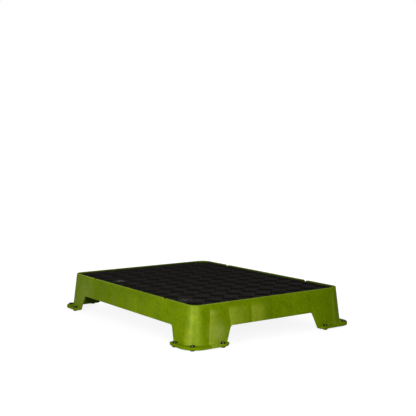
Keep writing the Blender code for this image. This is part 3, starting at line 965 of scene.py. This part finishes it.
def bulge(nodes, along, pitch):
    """A parabola between two ribs: share times one minus share, times four."""
    share = nodes.calculate("FRACT", nodes.calculate("DIVIDE", along, pitch))
    bow = nodes.product(share, nodes.calculate("SUBTRACT", 1.0, share), 4.0)
    last_rib = (RIB_COUNT - 1) / 2 * pitch
    reach = nodes.calculate("LESS_THAN", nodes.calculate("ABSOLUTE", along), last_rib)
    return nodes.product(bow, reach)


def painted_sheen_panels(nodes, along, panels):
    """How much painted sheen the wall has: in each panel a straight change from its beginning to its
    end, squared.

    Each panel begins and ends softly, and where two meet the paler one counts.
    """
    total = 0.0
    for start, end, first, last in panels:
        tone = nodes.to_range(along, start, end, first, last)
        begins = nodes.to_range(along, start + PANEL_START[0], start + PANEL_START[1], 0.0, 1.0)
        ends = nodes.to_range(along, end + PANEL_END[0], end + PANEL_END[1], 1.0, 0.0)
        total = nodes.calculate("MAXIMUM", total, nodes.product(begins, ends, tone))
    return nodes.calculate("POWER", total, 2.0)


def paint_sheen_and_highlights(nodes, place, colour):
    """The colour with its ragged patches of painted sheen and its lime spots of painted highlight."""
    ragged = nodes.to_range(nodes.noise(place, 75.0, 4.0, 0.65), 0.35, 0.65, 0.45, 1.0)
    for spots, pale in ((PAINTED_SHEEN_PATCHES, PAINTED_SHEEN_GREEN), (PAINTED_HIGHLIGHT_SPOTS, PAINTED_HIGHLIGHT_LIME)):
        for centre, radius, strength in spots:
            spot = nodes.product(nodes.patch(place, centre, radius), ragged, strength)
            colour = nodes.blend(spot, colour, pale)
    return colour


def paint_panel_sheen(nodes, place, colour, on_short, on_long):
    """The colour with its panels of painted sheen, whose edges wander, and slant at the front's left
    end.
    """
    x, y, z = nodes.split(place)
    wander = nodes.noise(place, 22.0, 2.0)
    wander = nodes.to_range(wander, 0.3, 0.7, -PANEL_WANDER, PANEL_WANDER)
    fall = nodes.product(nodes.calculate("SUBTRACT", SLANT_TOP, z), SLANT)
    fall = nodes.product(fall, nodes.calculate("LESS_THAN", x, SLANT_SIDE))
    leaning = nodes.calculate("ADD", wander, fall)
    below_rim = nodes.to_range(z, *PANEL_TOPS, 1.0, 0.0)
    uneven = nodes.to_range(nodes.noise(place, 60.0, 3.0, 0.6), 0.3, 0.6, 0.55, 1.0)
    shown = nodes.product(below_rim, uneven)
    for along, shift, panels, wall, pale in (
        (x, leaning, FRONT_PANELS, on_short, FRONT_SHEEN),
        (y, wander, SIDE_PANELS, on_long, SIDE_SHEEN),
    ):
        tone = painted_sheen_panels(nodes, nodes.calculate("ADD", along, shift), panels)
        colour = nodes.blend(nodes.product(tone, wall, shown), colour, pale)
    return colour


def green_plastic():
    """Moulded green plastic: a leathery grain, walls bowed between the ribs and marked with patches
    and panels of painted sheen, lime spots of painted highlight down the near corner, a painted
    highlight along the rim edge, painted shade on the recess wall and a near corner rubbed shiny.
    The rim and the flanges are dull."""
    material, nodes, surface = new_material("green moulded plastic")
    place = nodes.place()
    x, y, z = nodes.split(place)
    wide, long = nodes.calculate("ABSOLUTE", x), nodes.calculate("ABSOLUTE", y)
    on_long = nodes.calculate("GREATER_THAN", wide, HALF_WIDTH - WALL_START)
    on_short = nodes.calculate("GREATER_THAN", long, HALF_LENGTH - WALL_START)
    mottle = nodes.noise(place, 130.0, 4.0, 0.6)

    base = nodes.ramp(nodes.noise(place, 16.0, 3.0), GREEN_STOPS)
    colour = nodes.blend(1.0, base, nodes.ramp(mottle, MOTTLE_STOPS), "MULTIPLY")
    # Painted sheen patches and painted highlight spots
    colour = paint_sheen_and_highlights(nodes, place, colour)
    # Painted sheen on the walls' panels
    colour = paint_panel_sheen(nodes, place, colour, on_short, on_long)

    # A painted highlight along the rim's outer edge, stronger towards the far end of the long sides
    rim_edge = nodes.to_range(z, *RIM_HIGHLIGHT_HEIGHTS, 0.0, 1.0)
    lighter = nodes.product(nodes.to_range(y, *RIM_HIGHLIGHT_ALONG), on_long)
    lighter = nodes.calculate("MAXIMUM", lighter, nodes.product(on_short, RIM_HIGHLIGHT_ACROSS))
    colour = nodes.blend(nodes.product(rim_edge, lighter), colour, PAINTED_RIM_HIGHLIGHT)

    corner_x = nodes.to_range(wide, HALF_WIDTH - CORNER_RADIUS, HALF_WIDTH, 0.0, 1.0)
    corner_y = nodes.to_range(long, HALF_LENGTH - CORNER_RADIUS, HALF_LENGTH, 0.0, 1.0)
    corner = nodes.product(corner_x, corner_y, CORNER_GAIN)
    # Painted shade on the recess wall above the mat, away from the corners
    recess_shaded = nodes.product(
        nodes.calculate("LESS_THAN", wide, HALF_WIDTH - RIM_WIDTH + RECESS_SHADE_EDGE),
        nodes.calculate("LESS_THAN", long, HALF_LENGTH - RIM_WIDTH + RECESS_SHADE_EDGE),
        nodes.calculate("LESS_THAN", corner, RECESS_SHADE_CORNER),
        nodes.calculate("GREATER_THAN", z, RECESS_FLOOR),
        nodes.calculate("LESS_THAN", z, RIM_HEIGHT - RECESS_SHADE_EDGE),
        RECESS_SHADE_STRENGTH,
    )
    nodes.put(surface["Base Color"], nodes.blend(recess_shaded, colour, RECESS_SHADE))

    shiny_spot = nodes.patch(place, RUBBED_CORNER, RUBBED_REACH)
    shine = nodes.calculate("MINIMUM", corner, 1.0)
    shine = nodes.product(shine, nodes.to_range(shiny_spot, 0.0, 0.4, 0.0, 1.0))
    below_rim = nodes.to_range(z, *DULL_RIM, 1.0, 0.0)
    above_flange = nodes.to_range(z, *DULL_FLANGE, 0.0, 1.0)
    gloss = nodes.to_range(shine, 0.0, 1.0, *GLOSS)
    nodes.put(surface["Specular IOR Level"], nodes.product(below_rim, above_flange, gloss))
    nodes.put(surface["Roughness"], nodes.to_range(mottle, 0.3, 0.7, 0.34, 0.46))
    nodes.put(surface["Specular Tint"], GREEN_SHEEN)

    long_bow = nodes.product(bulge(nodes, y, RIB_PITCH_ALONG), on_long)
    short_bow = nodes.product(bulge(nodes, x, RIB_PITCH_ACROSS), on_short)
    bow = nodes.calculate("MAXIMUM", long_bow, short_bow)
    bow = nodes.product(bow, nodes.to_range(z, *BOW_TOPS, 1.0, 0.0))
    normal = nodes.bump(bow, 1.0, WALL_BOW)
    normal = nodes.bump(nodes.noise(place, 240.0, 2.0), 0.5, PEEL_DEPTH, normal)
    normal = nodes.bump(nodes.noise(place, 900.0, 3.0, 0.6), 0.35, GRAIN_DEPTH, normal)
    nodes.put(surface["Normal"], normal)
    return material


def black_rubber(name, base, roughness, scuffs_and_sheen=(), groove=None):
    """Matt black rubber with a dusty, uneven surface, pale scuffs that are partly wear and partly
    painted sheen, and painted shade in the grooves.
    """
    material, nodes, surface = new_material(name)
    place = nodes.place()
    lighter = tuple(value * 1.5 for value in base)
    colour = nodes.ramp(nodes.noise(place, 30.0, 4.0, 0.6), [(0.35, base), (0.75, lighter)])
    # Pale scuffs, partly wear and partly painted sheen
    if scuffs_and_sheen:
        ragged = nodes.to_range(nodes.noise(place, 160.0, 3.0, 0.7), 0.3, 0.7, 0.2, 1.0)
        for centre, radius in scuffs_and_sheen:
            spot = nodes.product(nodes.patch(place, centre, radius), ragged)
            colour = nodes.blend(spot, colour, RUBBER_SCUFF_AND_SHEEN)
    # Painted shade in the grooves, below the land
    if groove:
        land = nodes.to_range(nodes.split(place)[2], *groove, 0.0, 1.0)
        colour = nodes.blend(land, GROOVE_SHADE, colour)
    nodes.put(surface["Base Color"], colour)
    fine = nodes.noise(place, 1200.0, 2.0)
    rough = nodes.to_range(fine, 0.3, 0.7, roughness - 0.08, roughness + 0.08)
    nodes.put(surface["Roughness"], rough)
    nodes.put(surface["Normal"], nodes.bump(fine, 0.4, GRAIN_DEPTH))
    nodes.put(surface["Specular IOR Level"], 0.0)
    return material


def coated_metal(name, base, roughness, metallic, shiny_spot=False):
    """Screw or nut metal with fine scratches and worn, duller spots, with or without a painted glint.
    """
    material, nodes, surface = new_material(name)
    place = nodes.place()
    spots = nodes.noise(place, 500.0, 3.0, 0.6)
    worn = tuple(value * 1.5 + 0.002 for value in base)
    colour = nodes.ramp(spots, [(0.4, base), (0.8, worn)])
    # A painted glint: a pale spot that stands in for a highlight
    if shiny_spot:
        painted_glint = nodes.add("Attribute")
        painted_glint.attribute_name = "painted_glint"
        colour = nodes.blend(painted_glint.outputs["Fac"], colour, PAINTED_GLINT_GREY)
    nodes.put(surface["Base Color"], colour)
    rough = nodes.to_range(spots, 0.3, 0.7, roughness - 0.06, roughness + 0.1)
    nodes.put(surface["Roughness"], rough)
    scratches = nodes.noise(place, 3000.0, 2.0)
    nodes.put(surface["Normal"], nodes.bump(scratches, 0.15, SCRATCH_DEPTH))
    nodes.put(surface["Metallic"], metallic)
    if not metallic:
        nodes.put(surface["Specular IOR Level"], 0.02)
    return material


def dress(made, material, node):
    """Gives a piece its finish and the body it rides on, and hides the solid it stands for."""
    made.data.materials.clear()
    made.data.materials.append(material)
    made.data.shade_smooth()
    made.data.set_sharp_from_angle(angle=SHARP_ANGLE)
    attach(made, "root")
    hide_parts(node)


# Camera, floor and light

def camera_at_photo():
    """The pinhole fitted to the board's edges in the photograph."""
    data = bpy.data.cameras.new("photo camera")
    data.sensor_width = SENSOR
    data.lens = SENSOR * FOCAL_PIXELS / PHOTO_PIXELS
    data.clip_start, data.clip_end = CAMERA_CLIP
    camera = bpy.data.objects.new("photo camera", data)
    bpy.context.scene.collection.objects.link(camera)
    axes = Matrix((CAMERA_RIGHT, CAMERA_UP, CAMERA_BACK)).transposed()
    camera.matrix_world = Matrix.Translation(CAMERA_PLACE) @ axes.to_4x4()
    bpy.context.scene.camera = camera


def softbox(name, place, target, width, height, power):
    """An upright rectangular lamp at place that faces target."""
    data = bpy.data.lights.new(name, "AREA")
    data.shape = "RECTANGLE"
    data.size, data.size_y = width, height
    data.energy = power
    lamp = bpy.data.objects.new(name, data)
    bpy.context.scene.collection.objects.link(lamp)
    lamp.location = place
    lamp.rotation_euler = (Vector(target) - Vector(place)).to_track_quat("-Z", "Y").to_euler()


def white_floor():
    """A pale matt floor that the camera sees as white outside the shadow."""
    half = FLOOR_HALF
    corners = [(-half, -half, 0), (half, -half, 0), (half, half, 0), (-half, half, 0)]
    mesh = bpy.data.meshes.new("floor")
    mesh.from_pydata(corners, [], [[0, 1, 2, 3]])
    floor = bpy.data.objects.new("floor", mesh)
    bpy.context.scene.collection.objects.link(floor)
    material, nodes, surface = new_material("pale floor")
    nodes.put(surface["Base Color"], FLOOR_GREY)
    nodes.put(surface["Roughness"], 0.9)
    glow = nodes.to_range(nodes.seen(), 0.0, 1.0, 0.0, FLOOR_GLOW)
    nodes.put(surface["Emission Strength"], glow)
    nodes.put(surface["Emission Color"], WHITE)
    floor.data.materials.append(material)


def studio():
    """White surroundings for the camera and for gloss, dimmer ones for the rest, and the lamps."""
    world = bpy.data.worlds.new("studio")
    bpy.context.scene.world = world
    nodes = Nodes(world)
    background = world.node_tree.nodes["Background"].inputs
    upward = nodes.split(nodes.add("TexCoord").outputs["Generated"])[2]
    dome = nodes.to_range(upward, 0.0, 1.0, *DOME_LEVELS)
    level = nodes.add("Mix")
    level.data_type = "FLOAT"
    nodes.put(level.inputs["Factor"], nodes.seen())
    nodes.put(level.inputs[2], dome)
    nodes.put(level.inputs[3], 1.0)
    nodes.put(background["Color"], WHITE)
    nodes.put(background["Strength"], level.outputs[0])
    for lamp in LAMPS:
        softbox(*lamp)


shell = moulded_shell()
dress(shell, green_plastic(), "board_shell")
mat = ribbed_mat()
mat_finish = black_rubber("mat rubber", MAT_BLACK, 0.62, scuffs_and_sheen=MAT_SCUFFS_AND_SHEEN, groove=GROOVE_HEIGHTS)
dress(mat, mat_finish, "rubber_mat")
screw_finish = coated_metal("black screw coating", SCREW_BLACK, 0.28, metallic=0.0, shiny_spot=True)
foot_finish = black_rubber("foot rubber", FOOT_BLACK, 0.75)
nut_finish = coated_metal("zinc", ZINC, 0.35, metallic=1.0)
for name, centre in foot_centres().items():
    head = mesh_object("screw_head_" + name, *screw_shape(centre))
    # A painted glint low on the front of each head
    paint_glint(head, centre)
    dress(head, screw_finish, "foot_screw_" + name)
    pad = mesh_object("foot_pad_" + name, *foot_shape(centre))
    dress(pad, foot_finish, "rubber_foot_" + name)
    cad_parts["foot_nut_" + name].data.materials[0] = nut_finish

camera_at_photo()
white_floor()
studio()
bpy.context.scene.view_settings.view_transform = "Standard"
